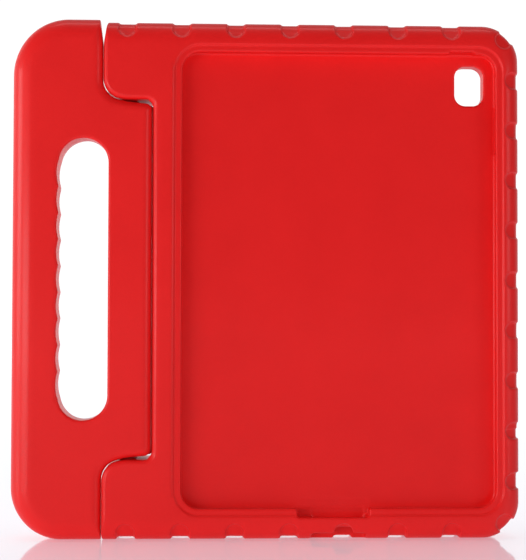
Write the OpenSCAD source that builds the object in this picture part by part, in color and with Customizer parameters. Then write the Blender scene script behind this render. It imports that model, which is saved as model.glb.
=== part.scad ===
// Padded foam tablet case with a folding carry handle.
// Upright on its bottom edge: X runs to the right, Z up, the screen opening faces -Y.
// The handle stands at the left and turns about an upright hinge axis to the back.

/* [Tablet] */
// width of the slab that the pocket holds
tablet_w = 174.1; // [160:0.1:190]
// height of the slab that the pocket holds
tablet_h = 250.6; // [230:0.1:270]
// thickness of the slab that the pocket holds
tablet_t = 6.1; // [5:0.1:9]
// corner radius of the slab
tablet_r = 9; // [5:0.5:15]
// free space round the slab, each side
pocket_gap = 0.25; // [0.1:0.05:1]

/* [Case] */
// overall width with the handle folded out
case_w = 279; // [260:0.5:300]
// height of the case body
body_h = 283.2; // [270:0.1:300]
// overall thickness, front to back
case_t = 28; // [24:0.5:34]
// width of the rim between the screen opening and the right edge
rim_right = 13.8; // [11:0.1:18]
// height of the rim between the screen opening and the bottom edge
rim_bottom = 17.4; // [13:0.1:20]
// outer corner radius of the body
corner_r = 20.5; // [14:0.5:28]
// roll of the outer edges of the body, front and back
edge_roll = 8; // [4:0.5:10]

/* [Screen opening] */
// how far the lip reaches over the slab, each side
lip_reach = 1; // [0.5:0.1:3]
// thickness of the lip in front of the slab
lip_t = 2.6; // [2:0.1:4]
// width of the lowered band along the opening
band_w = 3.3; // [2:0.1:6]
// how far the band lies below the front face
band_drop = 0.8; // [0.4:0.1:1.5]
// corner radius of the opening
window_r = 10; // [6:0.5:14]

/* [Back] */
// depth of the shallow panel in the back
back_drop = 6; // [2:0.5:8]
// how far the panel edge lies inside the pocket outline
back_inset = 4.3; // [2:0.1:10]
// width of the camera window
camera_w = 16; // [12:0.5:24]
// height of the camera window
camera_h = 22; // [14:0.5:30]
// distance of the camera window centre from the slab's top and side
camera_in = 14; // [10:0.5:24]

/* [Ports] */
// width of the charging notch in the bottom lip
port_w = 39.5; // [20:0.5:60]
// how far the charging notch sits left of the middle of the opening
port_shift = 3.2; // [0:0.1:6]
// how far the charging notch reaches below the opening
port_drop = 5; // [2:0.5:9]
// width of the charging channel through the bottom wall
channel_w = 30; // [14:0.5:36]
// width of the relief behind the power button
power_w = 13.6; // [8:0.1:20]
// distance of the power button from the right side of the slab
power_in = 19.4; // [12:0.1:30]
// height of the relief beside the volume buttons
volume_h = 26; // [14:0.5:40]

/* [Edge notches] */
// width of one notch
notch_w = 10; // [6:0.5:14]
// depth of one notch in the outer wall
notch_d = 1.3; // [0.6:0.1:2]
// how far a notch reaches in from the outer edge on the front and back
notch_in = 8.5; // [4:0.5:9]
// spacing of the notches along the top and bottom
notch_pitch_x = 29.65; // [24:0.05:34]
// where the middle notch of the top and bottom lies
notch_x = 12.5; // [8:0.1:16]
// spacing of the notches along the right side
notch_pitch_z = 27.5; // [22:0.05:32]

/* [Handle] */
// overall height of the handle
handle_h = 284.7; // [270:0.1:300]
// outer corner radius of the handle
handle_r = 28; // [18:0.5:34]
// roll of the outer edges of the handle
handle_roll = 12; // [6:0.5:12.5]
// width of the grip slot
slot_w = 26.8; // [20:0.1:30]
// length of the grip slot
slot_l = 153.1; // [120:0.1:180]
// distance from the handle's outer edge to the grip slot
bar_w = 26.3; // [24:0.1:32]
// spacing of the finger scallops
scallop_pitch = 14.4; // [12:0.05:18]
// depth of the finger scallops
scallop_d = 1.1; // [0.5:0.1:2]

/* [Hinge] */
// distance of the hinge axis from the middle of the case, to the left
hinge_x = 75.95; // [72:0.05:80]
// half width of the ears
ear_half = 13.4; // [13:0.1:14]
// distance from the hinge axis to the end of the tongue
tongue_reach = 13; // [12.8:0.1:13.2]
// height of the tongue between the ears
tongue_l = 194; // [180:0.1:210]
// height of the middle of the tongue
hinge_mid = 141.8; // [135:0.1:150]
// gap round the tongue
seam = 0.7; // [0.6:0.1:1]
// gap between the ears and the shoulders of the handle
shoulder_gap = 0.5; // [0.4:0.1:0.6]
// corner radius of the ears at the seam
ear_r = 11; // [10:0.5:12]
// corner radius of the tongue
tongue_r = 4; // [2:0.5:5]
// diameter of the hinge pin
pin_d = 5.5; // [4:0.1:8]
// outer diameter of the sockets and sleeves
sleeve_d = 9.6; // [8:0.1:12]
// length of pin inside each ear and each end of the tongue
pin_grip = 25; // [15:0.5:30]
// running clearance between pin and ear socket, on the radius
pin_play = 0.05; // [0.02:0.01:0.1]

/* [Hidden] */
$fn = 64;
foam_red = [0.87, 0.14, 0.14];
nylon_maroon = [0.44, 0.10, 0.10];
acetal_red = [0.73, 0.11, 0.11];
front_y = -case_t / 2;
back_y = case_t / 2;
right_x = case_w / 2;
left_x = -case_w / 2;
axis_x = -hinge_x;
open_w = tablet_w - 2 * lip_reach;
open_h = tablet_h - 2 * lip_reach;
open_x = right_x - rim_right - open_w / 2;
open_z = rim_bottom + open_h / 2;
pocket_w = tablet_w + 2 * pocket_gap;
pocket_h = tablet_h + 2 * pocket_gap;
band_y = front_y + band_drop;
pocket_y0 = band_y + lip_t;
pocket_y1 = pocket_y0 + tablet_t + 2 * pocket_gap;
panel_y = back_y - back_drop;
tongue_top = hinge_mid + tongue_l / 2;
tongue_bot = hinge_mid - tongue_l / 2;
ear_low = tongue_bot - seam;
ear_high = tongue_top + seam;
tongue_x = axis_x + tongue_reach;
seam_x = tongue_x + seam;
shoulder_x = axis_x - ear_half - shoulder_gap;
ear_rise = 0.189;
tongue_fall = 0.1;
ear_cu = ear_r - ear_half;
ear_cz = ear_r * sqrt(1 + ear_rise * ear_rise) - ear_rise * ear_cu;
ear_tu = ear_cu - ear_r * sin(atan(ear_rise));
ear_tz = -0.95 * ear_rise * ear_tu;
skin_y = front_y + 4.8;
bulge_y = -5.3;
slot_x0 = left_x + bar_w;
slot_x1 = slot_x0 + slot_w;
web_y = front_y + 6;
scallop_land = 0.6;
scallop_r = (pow((scallop_pitch - scallop_land) / 2, 2) + pow(scallop_d, 2)) / (2 * scallop_d);
big = 400;

// ---- helpers ----

// a flat shape drawn in X and Z, given thickness from y0 to y1
module plate(y0, y1) {
  translate([0, y1, 0]) rotate([90, 0, 0]) linear_extrude(y1 - y0) children();
}

// a rounded rectangle about a centre
module soft_rect(w, h, r) {
  square([w - 2 * r, h], center = true);
  square([w, h - 2 * r], center = true);
  for (i = [-1, 1]) {
    for (j = [-1, 1]) {
      translate([i * (w / 2 - r), j * (h / 2 - r)]) circle(r);
    }
  }
}

// a slab that is square at its left and has two rounded corners at its right
module tab(x0, x1, z0, z1, r) {
  translate([x0, z0]) square([x1 - x0 - r, z1 - z0]);
  translate([x0, z0 + r]) square([x1 - x0, z1 - z0 - 2 * r]);
  for (z = [z0 + r, z1 - r]) {
    translate([x1 - r, z]) circle(r);
  }
}

// what the rolled edges take off a slab: Y along the first axis, outwards along the second
module roll_section(r) {
  for (m = [0, 1]) {
    mirror([m, 0]) difference() {
      translate([front_y - 5, -r]) square([r + 5, r + 5]);
      translate([front_y + r + 0.15, -r - 0.15]) circle(r + 0.25);
    }
  }
}

// the roll along the top, right and bottom of a tab, front and back
module rolls(x0, x1, z0, z1, rc, r) {
  translate([x0 - 1, 0, z1]) rotate([90, 0, 90]) linear_extrude(x1 - rc - x0 + 1)
    roll_section(r);
  translate([x0 - 1, 0, z0]) mirror([0, 0, 1]) rotate([90, 0, 90])
    linear_extrude(x1 - rc - x0 + 1) roll_section(r);
  translate([x1, 0, z0 + rc]) linear_extrude(z1 - z0 - 2 * rc) rotate(-90) roll_section(r);
  translate([x1 - rc, 0, z1 - rc]) rotate([90, 0, 0]) rotate_extrude(angle = 90)
    translate([rc, 0]) rotate(-90) roll_section(r);
  translate([x1 - rc, 0, z0 + rc]) rotate([90, 90, 0]) rotate_extrude(angle = 90)
    translate([rc, 0]) rotate(-90) roll_section(r);
}

// a slab with rolled edges at its top, right and bottom
module pillow(x0, x1, z0, z1, rc, r) {
  difference() {
    plate(front_y, back_y) tab(x0, x1, z0, z1, rc);
    rolls(x0, x1, z0, z1, rc, r);
  }
}

// one notch seen from the front, at an edge that runs along the first axis
module notch_mark() {
  translate([0, -notch_in + notch_w / 2]) circle(notch_w / 2);
  translate([-notch_w / 2, -notch_in + notch_w / 2]) square([notch_w, notch_in]);
}

module notch_marks() {
  for (k = [-3 : 3]) {
    translate([notch_x + notch_pitch_x * k, body_h]) notch_mark();
    translate([notch_x + notch_pitch_x * k, 0]) mirror([0, 1]) notch_mark();
  }
  for (k = [-4 : 4]) {
    translate([right_x, hinge_mid + notch_pitch_z * k]) rotate(-90) notch_mark();
  }
  translate([right_x - corner_r, body_h - corner_r]) rotate(-45)
    translate([0, corner_r]) notch_mark();
  translate([right_x - corner_r, corner_r]) rotate(-135)
    translate([0, corner_r]) notch_mark();
}

// ---- body shell ----

// the lower left part of the upper ear, its hinge end at the origin: the underside rises a little
// to the left and runs round a corner into the seam
module ear_corner() {
  polygon([[-ear_half, ear_cz], [ear_cu, ear_cz], [ear_tu, ear_tz],
    [0, 0], [40, 0], [40, 30], [-ear_half, 30]]);
  translate([ear_cu, ear_cz]) circle(ear_r);
}

// front outline of the body: the frame and its two ears
module body_outline() {
  tab(seam_x, right_x, 0, body_h, corner_r);
  // lower ear
  translate([axis_x, ear_low]) mirror([0, 1]) ear_corner();
  difference() {
    translate([axis_x - ear_half, 0]) square([40, ear_low - 20]);
    translate([axis_x - ear_half - 1, -1]) square([2, 2]);
  }
  translate([axis_x - ear_half + 1, 1]) circle(1);
  // upper ear, cut back a little at its top
  translate([axis_x, ear_high]) ear_corner();
  difference() {
    translate([axis_x - ear_half, ear_high + 20]) square([40, body_h - ear_high - 20]);
    polygon([[axis_x - ear_half - 1, body_h - 13], [axis_x - ear_half, body_h - 13],
      [axis_x - ear_half + 2.2, body_h + 1], [axis_x - ear_half - 1, body_h + 1]]);
  }
}

// the fillet in the corner between an ear and the wall beside the tongue, in the front skin only
module corner_fillet() {
  difference() {
    translate([seam_x - tongue_r - seam, ear_high - tongue_r - seam])
      square([tongue_r + seam + 1, tongue_r + seam + 1]);
    translate([seam_x - tongue_r - seam, ear_high - tongue_r - seam]) circle(tongue_r + seam);
  }
}

// what the back of an ear gives up so that the handle can fold past it
module ear_relief(z0, z1) {
  translate([axis_x, 0, z0]) linear_extrude(z1 - z0) difference() {
    translate([-ear_half - 2, 0]) square([ear_half + 2, back_y + 1]);
    translate([back_y + 0.1 - ear_half, 0]) circle(back_y + 0.1);
  }
}

// the rounding of the back corner of an ear next to the tongue
module ear_skirt() {
  rotate_extrude(angle = 90)
    polygon([[8, -0.5], [20, -0.5], [20, 5], [14.7, 5], [8, 0]]);
}

// the sloping wall behind the seam, beside the tongue
module seam_slope() {
  translate([axis_x, 0, ear_low]) linear_extrude(ear_high - ear_low)
    polygon([[13.3, -6.2], [22.77, back_y], [23.24, back_y + 1], [13.2, back_y + 1]]);
}

module camera_mark(grow) {
  translate([open_x + tablet_w / 2 - camera_in, open_z + tablet_h / 2 - camera_in - 3])
    soft_rect(camera_w + 2 * grow, camera_h + 2 * grow, 6 + grow);
}

module body_shell() {
  color(foam_red) difference() {
    union() {
      plate(front_y, back_y) body_outline();
      plate(front_y, skin_y) corner_fillet();
      plate(front_y, skin_y) translate([0, 2 * hinge_mid]) mirror([0, 1]) corner_fillet();
    }
    rolls(axis_x - 40, right_x, 0, body_h, corner_r, edge_roll);
    // notches in the outer edges
    difference() {
      plate(front_y - 1, back_y + 1) notch_marks();
      pillow(axis_x - 60, right_x - notch_d, notch_d, body_h - notch_d,
        corner_r - notch_d, edge_roll - 0.6);
    }
    // the pocket, the band and the opening in the lip
    plate(pocket_y0, pocket_y1) translate([open_x, open_z])
      soft_rect(pocket_w, pocket_h, tablet_r);
    plate(front_y - 1, band_y) translate([open_x, open_z])
      soft_rect(open_w + 2 * band_w, open_h + 2 * band_w, window_r + band_w);
    plate(front_y - 1, pocket_y0 + 1) translate([open_x, open_z])
      soft_rect(open_w, open_h, window_r);
    // charging notch in the lip and channel through the bottom wall
    plate(front_y - 1, pocket_y1) translate([open_x - port_shift, rim_bottom - port_drop / 2 + 2])
      soft_rect(port_w, port_drop + 4, 2);
    translate([open_x, (pocket_y0 + pocket_y1) / 2, rim_bottom / 2])
      cube([channel_w, pocket_y1 - pocket_y0, rim_bottom + 2], center = true);
    // reliefs for the power and volume buttons
    plate(front_y - 1, pocket_y1)
      translate([open_x + tablet_w / 2 - power_in, open_z + open_h / 2])
      soft_rect(power_w, 3, 1);
    plate(pocket_y0, pocket_y1)
      translate([open_x + pocket_w / 2, open_z + tablet_h / 2 - 42])
      soft_rect(3, volume_h, 1.4);
    // back panel and camera window
    plate(panel_y, back_y + 1) translate([open_x, open_z])
      soft_rect(pocket_w - 2 * back_inset, pocket_h - 2 * back_inset, 14);
    plate(pocket_y0, back_y + 1) camera_mark(0);
    plate(panel_y - 3, back_y + 1) camera_mark(1.5);
    // room for the handle to fold past
    ear_relief(-1, ear_low + 0.5);
    ear_relief(ear_high - 0.5, body_h + 1);
    translate([axis_x, 0, ear_high]) rotate([0, 0, 90]) ear_skirt();
    translate([axis_x, 0, ear_low]) mirror([0, 0, 1]) rotate([0, 0, 90]) ear_skirt();
    seam_slope();
    // bores for the ear sockets
    for (s = [-1, 1]) {
      translate([axis_x, 0, hinge_mid + s * (ear_high - hinge_mid + pin_grip / 2 + 1)])
        cylinder(h = pin_grip + 2, d = sleeve_d, center = true);
    }
  }
}

// ---- handle ----

// finger scallops along the outer wall of the grip slot
module slot_mark() {
  r = slot_w / 2;
  translate([(slot_x0 + slot_x1) / 2, hinge_mid]) {
    for (s = [-1, 1]) {
      translate([0, s * (slot_l / 2 - r)]) circle(r);
    }
    square([slot_w, slot_l - 2 * r], center = true);
  }
  intersection() {
    translate([slot_x0 - 2, hinge_mid - 4.5 * scallop_pitch]) square([5, 9 * scallop_pitch]);
    union() {
      for (k = [-4 : 4]) {
        translate([slot_x0 - scallop_d + scallop_r, hinge_mid + k * scallop_pitch])
          circle(scallop_r);
      }
    }
  }
}

// the upper half of the tongue, its hinge end at the origin: the top falls a little to the right
module tongue_half(reach) {
  fall = tongue_fall * (reach - tongue_r);
  cz = -fall - tongue_r * sqrt(1 + tongue_fall * tongue_fall);
  lean = atan(tongue_fall);
  polygon([[-24, 0], [0, 0], [reach - tongue_r + tongue_r * sin(lean), cz + tongue_r * cos(lean)],
    [reach - tongue_r, cz], [reach, cz], [reach, -tongue_l / 2], [-24, -tongue_l / 2]]);
  translate([reach - tongue_r, cz]) circle(tongue_r);
}

module tongue_outline(reach) {
  translate([axis_x, tongue_top]) tongue_half(reach);
  translate([axis_x, tongue_bot]) mirror([0, 1]) tongue_half(reach);
}

// front outline of the handle: a tall loop with a tongue towards the body
module handle_outline() {
  translate([left_x, handle_r]) square([shoulder_x - left_x, handle_h - 2 * handle_r]);
  translate([left_x + handle_r, 0]) square([shoulder_x - left_x - handle_r, handle_h]);
  intersection() {
    translate([left_x - 1, -1]) square([shoulder_x - left_x + 1, handle_h + 2]);
    union() {
      for (z = [handle_r, handle_h - handle_r]) {
        translate([left_x + handle_r, z]) circle(handle_r);
      }
    }
  }
  tongue_outline(tongue_reach);
}

// the fillet that fills the corner between shoulder and tongue, in the front skin only
module web_mark() {
  translate([axis_x, ear_high]) difference() {
    polygon([[0.2, -seam - 0.05], [-5, 0.29], [-5, ear_cz], [-ear_half - shoulder_gap - 1, ear_cz],
      [-ear_half - shoulder_gap - 1, -seam - 1], [0.2, -seam - 1]]);
    translate([ear_cu, ear_cz]) circle(ear_r + shoulder_gap + 0.1);
  }
}

// what the shoulders give up at the back so that the handle can fold past the ears
module shoulder_relief(z0, z1) {
  translate([axis_x, 0, z0]) linear_extrude(z1 - z0)
    polygon([[-13.2, -5.87], [-16.01, 0], [-22.7, back_y], [-23.18, back_y + 1],
      [-8, back_y + 1], [-8, -5.87]]);
}

module handle() {
  color(foam_red) difference() {
    union() {
      plate(front_y, back_y) handle_outline();
      plate(bulge_y, back_y) tongue_outline(tongue_reach + 2);
      plate(front_y, web_y) web_mark();
      plate(front_y, web_y) translate([0, 2 * hinge_mid]) mirror([0, 1]) web_mark();
    }
    mirror([1, 0, 0])
      rolls(-shoulder_x - 20, right_x, 0, handle_h, handle_r, handle_roll);
    // grip slot
    plate(front_y - 1, back_y + 1) slot_mark();
    // V gap at the top of the shoulder
    plate(front_y - 1, back_y + 1)
      polygon([[shoulder_x, handle_h - 13.5], [shoulder_x + 1, handle_h - 13.5],
        [shoulder_x + 1, handle_h + 1], [shoulder_x - 1.9, handle_h + 1]]);
    // soft front edge of the tongue, and the round back that keeps the seam closed as it turns
    translate([axis_x, 0, tongue_bot - 1]) linear_extrude(tongue_l + 2) {
      difference() {
        translate([0, bulge_y - 0.1]) square([18, back_y + 1.1 - bulge_y]);
        translate([-0.1, 0]) circle(back_y + 0.1);
      }
      difference() {
        translate([tongue_reach - 4, front_y - 1]) square([6, 5]);
        translate([tongue_reach - 4.1, front_y + 4.1]) circle(4.2);
      }
    }
    // room to fold past the ears
    shoulder_relief(tongue_top, handle_h + 1);
    shoulder_relief(-1, tongue_bot);
    // bores for the sleeves
    for (s = [-1, 1]) {
      translate([axis_x, 0, hinge_mid + s * (tongue_l / 2 - pin_grip / 2 - 0.5)])
        cylinder(h = pin_grip + 3, d = sleeve_d, center = true);
    }
  }
}

// ---- hinge hardware ----

// one pin, upright, with a thin collar that keeps the ear off the tongue
module pin_shape() {
  translate([0, 0, -pin_grip + 0.5]) cylinder(h = 2 * pin_grip, d = pin_d);
  cylinder(h = seam - 0.4, d = sleeve_d - 0.6);
}

// one ear socket: a tube closed at its far end
module socket_shape() {
  difference() {
    cylinder(h = pin_grip + 2, d = sleeve_d);
    translate([0, 0, -1]) cylinder(h = pin_grip + 1.4, d = pin_d + 2 * pin_play);
  }
}

// one tongue sleeve, in which the pin is a tight fit
module sleeve_shape() {
  difference() {
    translate([0, 0, -pin_grip - 2]) cylinder(h = pin_grip + 2, d = sleeve_d);
    translate([0, 0, -pin_grip + 0.5]) cylinder(h = pin_grip + 1, d = pin_d);
  }
}

module upper_hinge_pin() {
  color(nylon_maroon) translate([axis_x, 0, tongue_top]) pin_shape();
}

module lower_hinge_pin() {
  color(nylon_maroon) translate([axis_x, 0, tongue_bot]) mirror([0, 0, 1]) pin_shape();
}

module upper_ear_socket() {
  color(acetal_red) translate([axis_x, 0, ear_high]) socket_shape();
}

module lower_ear_socket() {
  color(acetal_red) translate([axis_x, 0, ear_low]) mirror([0, 0, 1]) socket_shape();
}

module upper_tongue_sleeve() {
  color(acetal_red) translate([axis_x, 0, tongue_top]) sleeve_shape();
}

module lower_tongue_sleeve() {
  color(acetal_red) translate([axis_x, 0, tongue_bot]) mirror([0, 0, 1]) sleeve_shape();
}

body_shell();
handle();
upper_hinge_pin();
lower_hinge_pin();
upper_ear_socket();
lower_ear_socket();
upper_tongue_sleeve();
lower_tongue_sleeve();
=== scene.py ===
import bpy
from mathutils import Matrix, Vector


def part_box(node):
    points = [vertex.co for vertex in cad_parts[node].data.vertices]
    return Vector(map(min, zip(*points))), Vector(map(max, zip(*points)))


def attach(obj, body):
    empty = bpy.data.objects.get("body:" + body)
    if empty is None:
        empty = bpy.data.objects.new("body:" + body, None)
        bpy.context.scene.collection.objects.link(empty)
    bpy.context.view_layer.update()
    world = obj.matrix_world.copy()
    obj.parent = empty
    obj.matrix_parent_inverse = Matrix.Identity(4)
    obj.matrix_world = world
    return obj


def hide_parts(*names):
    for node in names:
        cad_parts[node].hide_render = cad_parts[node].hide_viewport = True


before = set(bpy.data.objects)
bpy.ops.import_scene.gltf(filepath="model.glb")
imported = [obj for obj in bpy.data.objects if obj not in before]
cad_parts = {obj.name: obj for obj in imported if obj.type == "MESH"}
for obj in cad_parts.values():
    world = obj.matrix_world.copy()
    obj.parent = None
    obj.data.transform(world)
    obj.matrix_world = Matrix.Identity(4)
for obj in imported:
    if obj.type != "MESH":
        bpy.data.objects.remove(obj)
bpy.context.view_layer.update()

import math
import bpy
import numpy as np
import openvdb as vdb
from mathutils import Matrix, Vector

# A padded foam tablet case with a folding carry handle. X runs to the right, Z up, the front faces -Y.
# The foam surfaces are worked out in millimetres as signed distances, negative inside the foam.

# ---------------------------------------------------------------- places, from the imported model

FULL_STEP, QUICK_STEP = 0.55, 1.0       # grid step of the foam meshes
STEP = FULL_STEP
FIT = 0.06                              # room round a socket or sleeve in its bore


def box_mm(node):
    lo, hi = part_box(node)
    return np.array(lo) * 1000, np.array(hi) * 1000


B0, B1 = box_mm("body_shell")
G0, G1 = box_mm("handle")
S0, S1 = box_mm("upper_ear_socket")
L0, L1 = box_mm("upper_tongue_sleeve")
T = B1[1] - B0[1]                       # overall thickness
FRONT, BACK = -T / 2, T / 2
RIGHT, TOP = B1[0], B1[2]
LEFT, HANDLE_TOP = G0[0], G1[2]
AXIS = (S0[0] + S1[0]) / 2              # hinge axis
BORE = (S1[0] - S0[0]) / 2 + FIT
EAR_Z = S0[2]                           # underside of the upper ear
TONGUE_Z = L1[2]                        # top of the tongue
MID = (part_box("lower_ear_socket")[1][2] * 1000 + EAR_Z) / 2
EAR_H, TONGUE_H = EAR_Z - MID, TONGUE_Z - MID
EAR_X = B0[0]                           # left end of the ears
FAR, BELOW = 330.0, -60.0               # well outside the object

# ---------------------------------------------------------------- sizes of the body

CORNER = 20.5                           # outer corners
NOTCH_X = 12.5                          # middle notch of the top and bottom rows
PITCH_X, PITCH_Z = 29.65, 27.5          # from notch to notch
NOTCHES_X, NOTCHES_Z = 3, 4             # notches on each side of the middle one
NOTCH_TOP = (5.0, 9.4)                  # radius and reach of the notches along the top and bottom
NOTCH_SIDE = (4.6, 9.0)                 # the same along the right side
NOTCH_D, NOTCH_LOW_D, NOTCH_LOW_Z = 0.8, 1.3, 60    # depth at the edge, and depth below NOTCH_LOW_Z
NOTCH_DIP, NOTCH_DIP_IN, NOTCH_DIP_W = 0.6, 5.5, 2.8    # a dip in it: how deep, how far in, how wide
OPEN_W, OPEN_H, OPEN_R = 172.1, 248.6, 10.0         # screen opening
OPEN_X, OPEN_Z = RIGHT - 13.8 - OPEN_W / 2, 17.4 + OPEN_H / 2
TABLET_X, TABLET_Z = OPEN_X + 87.05, OPEN_Z + 125.3  # right side and top of the tablet
BAND, BAND_R = 3.8, 13.8                # lowered band round the opening: width and corner radius
POCKET_W, POCKET_H, POCKET_R = 174.6, 251.1, 9.0    # room for the tablet behind the lip
BAND_Y, POCKET_Y0, POCKET_Y1 = FRONT + 0.9, FRONT + 3.4, FRONT + 10.0
POCKET_Y = (POCKET_Y0 + POCKET_Y1) / 2
# cutouts seen from the front, as width, height and corner radius
CHARGE_X, CHARGE_Z, CHARGE = OPEN_X - 3.2, 16.9, (39.5, 9.0, 2.0)
CHANNEL_HALF_W, CHANNEL_HALF_D, CHANNEL_R = 15.0, 3.3, 1.8      # this one is seen from below
POWER_X, POWER_Z, POWER = TABLET_X - 19.4, OPEN_Z + OPEN_H / 2, (13.6, 3.0, 1.2)
VOLUME_X, VOLUME_Z, VOLUME = OPEN_X + POCKET_W / 2, TABLET_Z - 42, (3.0, 26.0, 1.4)
VOLUME_HALF_D = 3.0
PANEL_Y = BACK - 6.0                    # floor of the recess in the back
PANEL = (POCKET_W - 8.6, POCKET_H - 8.6, 14.0)
LENS_X, LENS_Z, LENS = TABLET_X - 14, TABLET_Z - 17, (16.0, 22.0, 6.0)
LENS_FLARE, LENS_FLARE_MOST = 0.55, 3   # how the camera window widens towards the back
RIM_ROLL_TOP, RIM_ROLL_LOW, RIM_ROLL_LEAST = 12.4, 12.9, 6.0    # width of the rim's front roll
RIM_ROLL_Y, BACK_ROLL = 9.5, 9.0        # its depth, and the back roll
EAR_C = (AXIS - 2.4, 11.65, 11.0)       # corner of an ear: X, height over its underside, radius
EAR_ARC_END = 259.3                     # where that corner meets the underside, in degrees
EAR_ROLL = (3.2, 3.0)                   # roll of the ears' edges: width and depth
SKIN_D = 4.8                            # depth of the fillet beside the tongue
HUB_R = T / 2 + 0.1                     # ears and tongue are rounded to this radius
HUB_SHIFT, TONGUE_SHIFT = 0.7, -0.1     # X of that rounding's centre, from the hinge axis
CUT_PAST = 2.0                          # how far a cut begins outside an ear or the tongue
CONE_R, CONE_RISE = 8.0, 1.34           # back of an ear: radius at its underside, growth with height
WALL_SLANT = ((13.3, -6.2), (22.77, 14.0))          # line of the wall beside the tongue, X and Y

# ---------------------------------------------------------------- sizes of the handle

TONGUE_REACH, TONGUE_BULGE = 13.0, 2.0  # front end of the tongue, and how much further it goes inside
TONGUE_R, TONGUE_FALL = 4.0, 0.1        # radius of its corners, and slope of its ends
TONGUE_ARC_START = 84.3                 # where that slope meets the corner, in degrees
WEB_D, BULGE_Y = 6.0, FRONT + 8.7       # depth of the front skin, and where the bulge begins
SEAM_GAP = 0.7                          # beside the tongue
SHOULDER_GAP, CORNER_GAP = 0.5, 0.42    # at the left end of the ears, and round their corners
SEAM_X = AXIS + TONGUE_REACH + SEAM_GAP
SHOULDER_X = EAR_X - SHOULDER_GAP
HANDLE_R_TOP, HANDLE_R_LOW = 31.0, 28.0             # outer corners
TONGUE_ROLL, BULGE_ROLL = (5.4, 4.4), (4.0, 4.0)    # width and depth
SLOT_X, SLOT_HALF_W, SLOT_HALF_L = LEFT + 26.3, 13.4, 76.55
SLOT_ROLL, SLOT_FLARE = (1.4, 1.6), 0.12            # roll of its edges, and slope behind
SIDE_ROLL, SIDE_ROLL_MORE = (12.4, 9.5), (0.4, 3.2) # outer roll, and what the left side has more
SHOULDER_SLANT = ((-25.51, 19.87), (-16.01, 0.0))   # line behind the shoulders, X and Y
SHOULDER_SLANT_Y = -6.0                 # where it begins
SCALLOP_PITCH, SCALLOP_D, SCALLOPS = 14.4, 1.1, 4   # scallops on each side of the middle one

# ---------------------------------------------------------------- distance fields


def smax(a, b, k):
    """The larger of two distances, with the edge between them rounded over k."""
    h = np.maximum(k - np.abs(a - b), 0.0) / k
    return np.maximum(a, b) + h * h * (k * 0.25)


def smin(a, b, k):
    return -smax(-a, -b, k)


def cut(f, g, k):
    """f with g taken out, its edges softened over k."""
    return smax(f, -g, k)


def flat(a):
    """A field of X and Z, ready to be used at every Y."""
    return a[:, None, :]


def rrect(x, z, cx, cz, w, h, r):
    """A rectangle with rounded corners."""
    qx = np.abs(x - cx) - w / 2 + r
    qz = np.abs(z - cz) - h / 2 + r
    return np.hypot(np.maximum(qx, 0), np.maximum(qz, 0)) + np.minimum(np.maximum(qx, qz), 0) - r


def arc(cx, cz, r, a0, a1, n=14):
    t = np.radians(np.linspace(a0, a1, n))
    return [(cx + r * math.cos(v), cz + r * math.sin(v)) for v in t]


def polygon(pts, x, z):
    """A closed outline, on the grid x by z."""
    X, Z = np.meshgrid(x, z, indexing="ij")
    X, Z = X.astype(np.float32), Z.astype(np.float32)
    best = np.full(X.shape, 1e9, np.float32)
    inside = np.zeros(X.shape, bool)
    for (ax, az), (bx, bz) in zip(pts, pts[1:] + pts[:1]):
        ex, ez = bx - ax, bz - az
        n = ex * ex + ez * ez
        if n < 1e-12:
            continue
        wx, wz = X - ax, Z - az
        t = np.clip((wx * ex + wz * ez) / n, 0, 1)
        best = np.minimum(best, (wx - ex * t) ** 2 + (wz - ez * t) ** 2)
        if az != bz:
            crosses = (az > Z) != (bz > Z)
            inside ^= crosses & (X < ex * wz / ez + ax)
    return np.where(inside, -1, 1) * np.sqrt(best)


def slant(x, y, p, q):
    """How far a point lies to the left of the line from p to q."""
    dx, dy = q[0] - p[0], q[1] - p[1]
    return ((y - p[1]) * dx - (x - p[0]) * dy) / math.hypot(dx, dy)


def roll(d, v, a, b):
    """A slab whose edge rolls over, a wide and b deep: d is how far inside the edge a point lies, and v
    how far from the middle plane."""
    s = np.maximum((a - d) / a, 0)
    t = np.maximum((v - (T / 2 - b)) / b, 0)
    rho = np.sqrt(s * s + t * t)
    slope = np.sqrt((s / a) ** 2 + (t / b) ** 2)
    low = -np.minimum(a, b) * np.ones_like(rho)
    return np.where(rho > 1e-6, (rho - 1) * rho / np.maximum(slope, 1e-9), low)


def away(x, z, x1, z0, z1, r):
    """How far inside a slab's top, right and bottom edges a point lies, and how much of the way to the
    nearest of them runs along X."""
    half = 400
    qx, qz = (x - (x1 - half)) - half + r, np.abs(z - (z0 + z1) / 2) - (z1 - z0) / 2 + r
    px, pz = np.maximum(qx, 0), np.maximum(qz, 0)
    n = np.hypot(px, pz)
    d = r - n - np.minimum(np.maximum(qx, qz), 0)
    along_x = np.where(n > 1e-6, (px / np.maximum(n, 1e-6)) ** 2, (qx > qz) * 1.0)
    return d, along_x


# ---------------------------------------------------------------- from field to mesh


def grid(lo, hi, step):
    return [np.arange(a - 2 * step, b + 2.5 * step, step) for a, b in zip(lo, hi)]


def sample(f, p):
    """Values of the grid f between its points."""
    i = np.clip(np.floor(p).astype(int), 0, np.array(f.shape) - 2)
    w = p - i
    out = 0
    for c in range(8):
        o = np.array([c & 1, c >> 1 & 1, c >> 2 & 1])
        j = i + o
        k = np.prod(np.where(o, w, 1 - w), axis=1)
        out = out + k * f[j[:, 0], j[:, 1], j[:, 2]]
    return out


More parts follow.
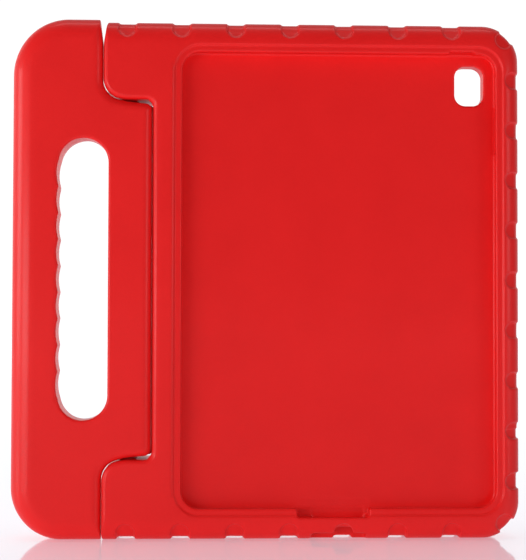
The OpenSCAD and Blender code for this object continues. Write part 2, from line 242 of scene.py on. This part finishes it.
def to_mesh(name, f, axes, step):
    """A closed mesh of the surface f = 0, with smooth normals taken from f itself."""
    f = np.ascontiguousarray(f, dtype=np.float32)
    g = vdb.FloatGrid(background=3 * step)
    g.copyFromArray(np.clip(f, -3 * step, 3 * step))
    pts, tris, quads = g.convertToPolygons(isovalue=0.0, adaptivity=0.004)
    pts = pts.astype(np.float64)
    nrm = np.empty_like(pts)
    for k in range(3):
        e = np.zeros(3)
        e[k] = 0.6
        nrm[:, k] = sample(f, pts + e) - sample(f, pts - e)
    nrm /= np.maximum(np.linalg.norm(nrm, axis=1), 1e-9)[:, None]
    pts = (pts * step + np.array([a[0] for a in axes])) / 1000
    me = bpy.data.meshes.new(name)
    me.vertices.add(len(pts))
    me.vertices.foreach_set("co", pts.astype(np.float32).ravel())
    # faces turned so that they look outwards
    q = quads[:2000].astype(int)
    face = np.cross(pts[q[:, 1]] - pts[q[:, 0]], pts[q[:, 2]] - pts[q[:, 0]])
    way = 1 if (face * nrm[q[:, 0]]).sum() > 0 else -1
    loops = np.concatenate([quads[:, ::way].ravel(), tris[:, ::way].ravel()]).astype(np.int32)
    sizes = np.concatenate([np.full(len(quads), 4), np.full(len(tris), 3)])
    starts = np.concatenate([[0], np.cumsum(sizes)[:-1]]).astype(np.int32)
    me.loops.add(len(loops))
    me.loops.foreach_set("vertex_index", loops)
    me.polygons.add(len(sizes))
    me.polygons.foreach_set("loop_start", starts)
    me.update(calc_edges=True)
    me.validate()
    me.shade_smooth()
    me.normals_split_custom_set_from_vertices(nrm.astype(np.float32))
    ob = bpy.data.objects.new(name, me)
    bpy.context.scene.collection.objects.link(ob)
    return ob


# ---------------------------------------------------------------- body of the case


def notch_marks(x, z):
    """The U-shaped marks along the top, right, bottom and the two right corners."""
    out = np.full(np.broadcast(x, z).shape, 50.0)

    def mark(px, pz, dx, dz, w, reach):
        # a stadium that starts reach inside the edge and runs outwards
        sx, sz = px - dx * (reach - w), pz - dz * (reach - w)
        t = np.clip((x - sx) * dx + (z - sz) * dz, 0, 20)
        return np.hypot(x - sx - t * dx, z - sz - t * dz) - w

    for k in range(-NOTCHES_X, NOTCHES_X + 1):
        out = np.minimum(out, mark(NOTCH_X + PITCH_X * k, TOP, 0, 1, *NOTCH_TOP))
        out = np.minimum(out, mark(NOTCH_X + PITCH_X * k, 0, 0, -1, *NOTCH_TOP))
    for k in range(-NOTCHES_Z, NOTCHES_Z + 1):
        out = np.minimum(out, mark(RIGHT, MID + PITCH_Z * k, 1, 0, *NOTCH_SIDE))
    q = math.sqrt(0.5)
    for s, cz in ((1, TOP - CORNER), (-1, CORNER)):
        px, pz = RIGHT - CORNER + CORNER * q, cz + s * CORNER * q
        out = np.minimum(out, mark(px, pz, q, s * q, *NOTCH_TOP))
    return out


def seam_side(x, z, fillet):
    """The body seen from the front: the ears, the V at the top and the wall beside the tongue."""
    low = 2 * MID - EAR_Z
    cx, rise, r = EAR_C
    corner = arc(SEAM_X - fillet, EAR_Z - fillet, fillet, 90, 0, 9) if fillet else [(SEAM_X, EAR_Z)]
    pts = [(FAR, FAR), (EAR_X + 7.0, FAR), (EAR_X + 2.1, TOP + 0.2), (EAR_X + 0.15, TOP - 12)]
    pts += [(EAR_X, TOP - 14)] + arc(cx, EAR_Z + rise, r, 180, EAR_ARC_END) + [(AXIS, EAR_Z)]
    pts += corner + [(a, 2 * MID - b) for a, b in reversed(corner)] + [(AXIS, low)]
    pts += arc(cx, low - rise, r, 360 - EAR_ARC_END, 180) + [(EAR_X, BELOW), (FAR, BELOW)]
    return polygon(pts, x, z)


def body_field(x, y, z):
    xs, ys, zs = x[:, None, None], y[None, :, None], z[None, None, :]
    x2, z2 = x[:, None], z[None, :]
    v = np.abs(ys)
    # outer edges: the front roll starts at the band round the screen opening
    d, _ = away(x2, z2, RIGHT, 0.0, TOP, CORNER)
    band = rrect(x2, z2, OPEN_X, OPEN_Z, OPEN_W + 2 * BAND, OPEN_H + 2 * BAND, BAND_R)
    a = np.minimum(d + np.maximum(band, 0), np.where(z2 > MID, RIM_ROLL_TOP, RIM_ROLL_LOW))
    f = roll(flat(d), v, flat(np.maximum(a, RIM_ROLL_LEAST)), RIM_ROLL_Y)
    f = np.where(ys < 0, f, roll(flat(d), v, BACK_ROLL, BACK_ROLL))
    # notches follow the rolled surface, deepest some way in from the edge
    dip = NOTCH_DIP * np.exp(-((flat(d) - NOTCH_DIP_IN) / NOTCH_DIP_W) ** 2)
    depth = np.where(zs < NOTCH_LOW_Z, NOTCH_LOW_D, NOTCH_D) + dip
    f = cut(f, smax(flat(notch_marks(x2, z2)), -(f + depth), 1.5), 0.4)
    # the seam side, with a fillet beside the tongue in the front skin
    whole = roll(-flat(seam_side(x, z, 0)), v, *EAR_ROLL)
    skin = roll(-flat(seam_side(x, z, TONGUE_R + SEAM_GAP)), v, *EAR_ROLL)
    f = np.maximum(f, smin(whole, np.maximum(skin, ys - (FRONT + SKIN_D)), 0.4))
    # room for the handle to fold to the back: round the ears, under them, and beside the tongue
    u, zz = xs - AXIS, np.abs(zs - MID)
    rr = np.hypot(u, ys)
    behind = np.maximum(np.maximum(u, -ys), EAR_H - CUT_PAST - zz)
    ring = np.hypot(u - HUB_SHIFT, ys) - HUB_R
    f = cut(f, np.maximum(-ring, behind), 1.2)
    cone = (rr - CONE_R - (zz - EAR_H) * CONE_RISE) / math.hypot(1, CONE_RISE)
    f = cut(f, np.maximum(-cone, behind), 1.2)
    f = cut(f, np.maximum(-slant(u, ys, *WALL_SLANT), zz - EAR_H), 1.6)
    # pocket, band and screen opening
    pocket = flat(rrect(x2, z2, OPEN_X, OPEN_Z, POCKET_W, POCKET_H, POCKET_R))
    f = cut(f, smax(pocket, np.abs(ys - POCKET_Y) - (POCKET_Y1 - POCKET_Y0) / 2, 1.6), 0.5)
    f = cut(f, smax(flat(band), ys - BAND_Y, 0.6), 1.1)
    window = flat(rrect(x2, z2, OPEN_X, OPEN_Z, OPEN_W, OPEN_H, OPEN_R))
    f = cut(f, np.maximum(window, ys - (POCKET_Y0 + 1)), 1.3)
    # charging notch, and the channel under it
    notch = flat(rrect(x2, z2, CHARGE_X, CHARGE_Z, *CHARGE))
    f = cut(f, np.maximum(notch, ys - (POCKET_Y1 - 0.3)), 1.0)
    cx = np.maximum(np.abs(xs - OPEN_X) - CHANNEL_HALF_W + CHANNEL_R, 0)
    cy = np.maximum(np.abs(ys - POCKET_Y) - CHANNEL_HALF_D + CHANNEL_R, 0)
    f = cut(f, np.maximum(np.hypot(cx, cy) - CHANNEL_R, zs - 17), 1.0)
    # reliefs for the power and volume buttons
    power = flat(rrect(x2, z2, POWER_X, POWER_Z, *POWER))
    f = cut(f, np.maximum(power, ys - (POCKET_Y1 - 0.5)), 0.8)
    volume = flat(rrect(x2, z2, VOLUME_X, VOLUME_Z, *VOLUME))
    f = cut(f, np.maximum(volume, np.abs(ys - POCKET_Y) - VOLUME_HALF_D), 0.8)
    # back: shallow recess and camera window
    panel = flat(rrect(x2, z2, OPEN_X, OPEN_Z, *PANEL))
    f = cut(f, smax(panel, PANEL_Y - ys, 3.0), 2.0)
    lens = flat(rrect(x2, z2, LENS_X, LENS_Z, *LENS))
    flare = np.clip((ys - (PANEL_Y - 3.5)) * LENS_FLARE, 0, LENS_FLARE_MOST)
    f = cut(f, np.maximum(lens - flare, POCKET_Y1 - 1 - ys), 1.0)
    # bores for the sockets
    bore = np.maximum(rr - BORE, np.maximum(EAR_H - CUT_PAST - zz, zz - (S1[2] - MID + FIT)))
    return np.maximum(f, -bore)


# ---------------------------------------------------------------- handle


def handle_side(x, z, reach, web):
    """The handle seen from the front: shoulders and tongue, with or without the web between them."""
    cx, fall, r = AXIS + reach - TONGUE_R, TONGUE_FALL * (reach - TONGUE_R), TONGUE_R
    half = [(-FAR, FAR), (SHOULDER_X - 7.0, FAR), (SHOULDER_X - 1.9, HANDLE_TOP)]
    half += [(SHOULDER_X - 0.1, HANDLE_TOP - 13), (SHOULDER_X, HANDLE_TOP - 15)]
    if web:
        half += arc(EAR_C[0], EAR_Z + EAR_C[1], EAR_C[2] + CORNER_GAP, 180, EAR_ARC_END)
    else:
        half += [(SHOULDER_X, TONGUE_Z)]
    half += [(AXIS, TONGUE_Z)] + arc(cx, TONGUE_Z - fall - r, r, TONGUE_ARC_START, 0, 8)
    low = [(a, 2 * MID - b) for a, b in reversed(half) if b < HANDLE_TOP - 20]
    return polygon(half + low + [(SHOULDER_X, BELOW), (-FAR, BELOW)], x, z)


def slot_mark(x2, z2):
    """The grip slot seen from the front, with finger scallops in its outer wall."""
    cx, dz = SLOT_X + SLOT_HALF_W, z2 - MID
    t = np.clip(dz, -(SLOT_HALF_L - SLOT_HALF_W), SLOT_HALF_L - SLOT_HALF_W)
    s = np.hypot(x2 - cx, dz - t) - SLOT_HALF_W
    r = ((SCALLOP_PITCH / 2) ** 2 + SCALLOP_D ** 2) / (2 * SCALLOP_D)
    k = np.clip(np.round(dz / SCALLOP_PITCH), -SCALLOPS, SCALLOPS)
    scallop = np.hypot(x2 - (SLOT_X - SCALLOP_D + r), dz - SCALLOP_PITCH * k) - r
    end = np.abs(dz) - (SCALLOPS + 0.5) * SCALLOP_PITCH
    return np.minimum(s, np.maximum(np.maximum(scallop, x2 - cx), end))


def handle_field(x, y, z):
    xs, ys, zs = x[:, None, None], y[None, :, None], z[None, None, :]
    x2, z2 = x[:, None], z[None, :]
    v = np.abs(ys)
    corner = np.where(z2 > MID, HANDLE_R_TOP, HANDLE_R_LOW)
    d, side = away(-x2, z2, -LEFT, 0.0, HANDLE_TOP, corner)
    wide, deep = (w + more * side for w, more in zip(SIDE_ROLL, SIDE_ROLL_MORE))
    f = roll(flat(d), v, flat(wide), flat(deep))
    # shoulders and tongue: the front skin also fills the corner between them, and the tongue is a
    # little longer behind its front
    u, zz = xs - AXIS, np.abs(zs - MID)
    skin = roll(-flat(handle_side(x, z, TONGUE_REACH, True)), v, *TONGUE_ROLL)
    core = roll(-flat(handle_side(x, z, TONGUE_REACH, False)), v, *TONGUE_ROLL)
    bulge = roll(-flat(handle_side(x, z, TONGUE_REACH + TONGUE_BULGE, False)), v, *BULGE_ROLL)
    edge = smin(core, np.maximum(skin, ys - (FRONT + WEB_D)), 0.4)
    edge = np.minimum(edge, np.maximum(bulge, BULGE_Y - ys))
    f = np.maximum(f, edge)
    ring = np.hypot(u - TONGUE_SHIFT, ys) - HUB_R
    f = cut(f, np.maximum(np.maximum(-ring, -u), BULGE_Y - 0.1 - ys), 0.8)
    # grip slot, a little wider at the back
    slot = flat(slot_mark(x2, z2)) - SLOT_FLARE * np.maximum(ys, 0)
    f = smax(f, roll(slot, v, *SLOT_ROLL), 0.4)
    # room to fold past the ears
    past = np.maximum(-slant(u, ys, *SHOULDER_SLANT), SHOULDER_SLANT_Y - ys)
    f = cut(f, np.maximum(past, TONGUE_H - zz), 0.8)
    # bores for the sleeves
    rr = np.hypot(u, ys)
    bore = np.maximum(rr - BORE, np.maximum(zz - TONGUE_H - CUT_PAST, (L0[2] - MID - FIT) - zz))
    return np.maximum(f, -bore)


body_axes = grid(B0, B1, STEP)
body = to_mesh("case_body", body_field(*body_axes), body_axes, STEP)
handle_axes = grid(G0, G1, STEP)
grip = to_mesh("carry_handle", handle_field(*handle_axes), handle_axes, STEP)
for ob, node, rides in ((body, "body_shell", "case"), (grip, "handle", "carry_handle")):
    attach(ob, rides)
    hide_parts(node)

# ---------------------------------------------------------------- materials

NOISE_MID = (0.3, 0.7)                  # the part of a noise that its ramp spreads out


def material(name):
    m = bpy.data.materials.new(name)
    m.use_nodes = True
    nt = m.node_tree
    nt.nodes.clear()
    out = nt.nodes.new("ShaderNodeOutputMaterial")
    bs = nt.nodes.new("ShaderNodeBsdfPrincipled")
    nt.links.new(bs.outputs[0], out.inputs[0])
    return m, nt, bs


def noise(nt, vec, scale, detail=3.0, rough=0.55):
    n = nt.nodes.new("ShaderNodeTexNoise")
    n.inputs["Scale"].default_value = scale
    n.inputs["Detail"].default_value = detail
    n.inputs["Roughness"].default_value = rough
    nt.links.new(vec, n.inputs["Vector"])
    return n.outputs["Fac"]


def ramp(nt, fac, lo, hi, c0, c1):
    r = nt.nodes.new("ShaderNodeMapRange")
    r.inputs["From Min"].default_value = lo
    r.inputs["From Max"].default_value = hi
    r.inputs["To Min"].default_value = c0
    r.inputs["To Max"].default_value = c1
    nt.links.new(fac, r.inputs["Value"])
    return r.outputs[0]


def math_node(nt, op, a, b):
    m = nt.nodes.new("ShaderNodeMath")
    m.operation = op
    for i, w in enumerate((a, b)):
        if isinstance(w, (int, float)):
            m.inputs[i].default_value = w
        else:
            nt.links.new(w, m.inputs[i])
    return m.outputs[0]


def colour_mix(nt, bs, fac, dark, light):
    """The base colour, between dark and light as fac says."""
    mix = nt.nodes.new("ShaderNodeMix")
    mix.data_type = "RGBA"
    mix.inputs[6].default_value = (*dark, 1)
    mix.inputs[7].default_value = (*light, 1)
    nt.links.new(fac, mix.inputs[0])
    nt.links.new(mix.outputs[2], bs.inputs["Base Color"])


def foam_material():
    """Closed-cell foam with a moulded skin: faint mottling, fine cells and a soft sheen."""
    m, nt, bs = material("moulded_foam_red")
    tc = nt.nodes.new("ShaderNodeTexCoord").outputs["Object"]
    broad = noise(nt, tc, 26)
    fine = noise(nt, tc, 900, rough=0.6)
    cells = nt.nodes.new("ShaderNodeTexVoronoi")
    cells.inputs["Scale"].default_value = 1500
    nt.links.new(tc, cells.inputs["Vector"])
    mottle = ramp(nt, broad, *NOISE_MID, 0.15, 0.75)
    grain = ramp(nt, fine, *NOISE_MID, -0.15, 0.15)
    fac = math_node(nt, "ADD", mottle, grain)
    colour_mix(nt, bs, fac, (0.860, 0.0085, 0.0082), (0.940, 0.0115, 0.0110))
    nt.links.new(ramp(nt, fine, *NOISE_MID, 0.44, 0.56), bs.inputs["Roughness"])
    bs.inputs["Specular IOR Level"].default_value = 0.22
    bs.inputs["Coat Weight"].default_value = 0.40
    bs.inputs["Coat Roughness"].default_value = 0.22
    bs.inputs["Coat IOR"].default_value = 1.35
    bump = nt.nodes.new("ShaderNodeBump")
    bump.inputs["Strength"].default_value = 0.35
    bump.inputs["Distance"].default_value = 0.00012
    pits = math_node(nt, "MULTIPLY", cells.outputs["Distance"], 0.5)
    nt.links.new(math_node(nt, "ADD", pits, fine), bump.inputs["Height"])
    nt.links.new(bump.outputs[0], bs.inputs["Normal"])
    return m


def plastic_material(name, colour, rough):
    m, nt, bs = material(name)
    tc = nt.nodes.new("ShaderNodeTexCoord").outputs["Object"]
    n = noise(nt, tc, 700)
    colour_mix(nt, bs, n, [c * 0.85 for c in colour], [min(c * 1.12, 1) for c in colour])
    nt.links.new(ramp(nt, n, *NOISE_MID, rough - 0.06, rough + 0.06), bs.inputs["Roughness"])
    return m


def wear(ob, m):
    ob.data.materials.clear()
    ob.data.materials.append(m)


foam = foam_material()
for ob in (body, grip):
    wear(ob, foam)
nylon = plastic_material("nylon_maroon", (0.16, 0.010, 0.010), 0.4)
acetal = plastic_material("acetal_red", (0.50, 0.012, 0.012), 0.36)
for node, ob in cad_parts.items():
    if node.endswith("pin"):
        wear(ob, nylon)
    elif node.endswith(("socket", "sleeve")):
        wear(ob, acetal)

# ---------------------------------------------------------------- floor

FLOOR_HALF = 6.0

floor_white, nt, bs = material("studio_floor")
bs.inputs["Base Color"].default_value = (0.90, 0.92, 0.97, 1)
bs.inputs["IOR"].default_value = 2.0
bs.inputs["Roughness"].default_value = 0.07
bs.inputs["Emission Color"].default_value = (0.95, 1.00, 1.15, 1)
bs.inputs["Emission Strength"].default_value = 0.21
sheet = bpy.data.meshes.new("studio_floor")
corners = [(sx * FLOOR_HALF, sy * FLOOR_HALF, 0) for sx, sy in ((-1, -1), (1, -1), (1, 1), (-1, 1))]
sheet.from_pydata(corners, [], [(0, 1, 2, 3)])
floor = bpy.data.objects.new("studio_floor", sheet)
bpy.context.scene.collection.objects.link(floor)
sheet.materials.append(floor_white)

# ---------------------------------------------------------------- light

# the room is bright behind the object, where a glossy floor reflects it, and dim in front
world = bpy.data.worlds.new("studio")
bpy.context.scene.world = world
world.use_nodes = True
nt = world.node_tree
nt.nodes.clear()
out = nt.nodes.new("ShaderNodeOutputWorld")
bg = nt.nodes.new("ShaderNodeBackground")
tc = nt.nodes.new("ShaderNodeTexCoord")
sep = nt.nodes.new("ShaderNodeSeparateXYZ")
nt.links.new(tc.outputs["Generated"], sep.inputs[0])
ahead = ramp(nt, sep.outputs[1], 0.0, 0.8, 0.12, 1.06)
above = ramp(nt, sep.outputs[2], 0.3, 0.9, 1.0, 0.7)
nt.links.new(math_node(nt, "MULTIPLY", ahead, above), bg.inputs["Strength"])
bg.inputs["Color"].default_value = (1, 1, 1, 1)
nt.links.new(bg.outputs[0], out.inputs[0])


def area(name, at, to, size, power):
    """A soft lamp of size metres and power watts at one point, facing another."""
    lamp = bpy.data.lights.new(name, "AREA")
    lamp.shape = "RECTANGLE"
    lamp.size, lamp.size_y = size
    lamp.energy = power
    o = bpy.data.objects.new(name, lamp)
    bpy.context.scene.collection.objects.link(o)
    o.location = at
    o.visible_camera = False
    o.rotation_mode = "QUATERNION"
    o.rotation_quaternion = (Vector(to) - Vector(at)).to_track_quat("-Z", "Y")
    return o


area("key_left", at=(-0.95, -0.95, 0.14), to=(-0.05, 0, 0.10), size=(0.8, 0.24), power=4.5)
area("rim_left", at=(-1.30, -0.15, 0.30), to=(-0.10, 0, 0.12), size=(0.5, 0.5), power=4.4)
low_front = area("low_front", at=(0, -0.50, 0.10), to=(0, 0, 0.10), size=(0.6, 0.04), power=0.38)
low_front.visible_glossy = False        # it brightens the lower edges and isn't seen in reflections
area("top", at=(0, -0.04, 1.20), to=(0, -0.04, 0), size=(1.0, 0.2), power=2.2)
area("fill_right", at=(1.00, -0.85, 0.30), to=(0.10, 0, 0.12), size=(0.4, 0.5), power=1.9)

# ---------------------------------------------------------------- camera

IMAGE_H = 560                           # pixels
FOCUS_PX = 1287.4                       # focal length in pixels
SENSOR = 24.0
DIST, YAW, PITCH, ROLL = 0.700, -2.1, -1.51, 0.14   # metres and degrees, from AIM
AIM = Vector((-0.0022, -0.014, 0.1414))

cam = bpy.data.cameras.new("camera")
camera = bpy.data.objects.new("camera", cam)
bpy.context.scene.collection.objects.link(camera)
bpy.context.scene.camera = camera
cam.sensor_fit = "VERTICAL"
cam.sensor_height = SENSOR
cam.sensor_width = SENSOR
cam.lens = SENSOR * FOCUS_PX / IMAGE_H
cam.clip_start, cam.clip_end = 0.05, 50
a, e = math.radians(YAW), math.radians(PITCH)
back = Vector((math.sin(a) * math.cos(e), -math.cos(a) * math.cos(e), math.sin(e)))
camera.location = AIM + back * DIST
camera.rotation_mode = "QUATERNION"
tilt = Matrix.Rotation(math.radians(ROLL), 3, "Z").to_quaternion()
camera.rotation_quaternion = (-back).to_track_quat("-Z", "Y") @ tilt
bpy.context.scene.view_settings.view_transform = "Standard"
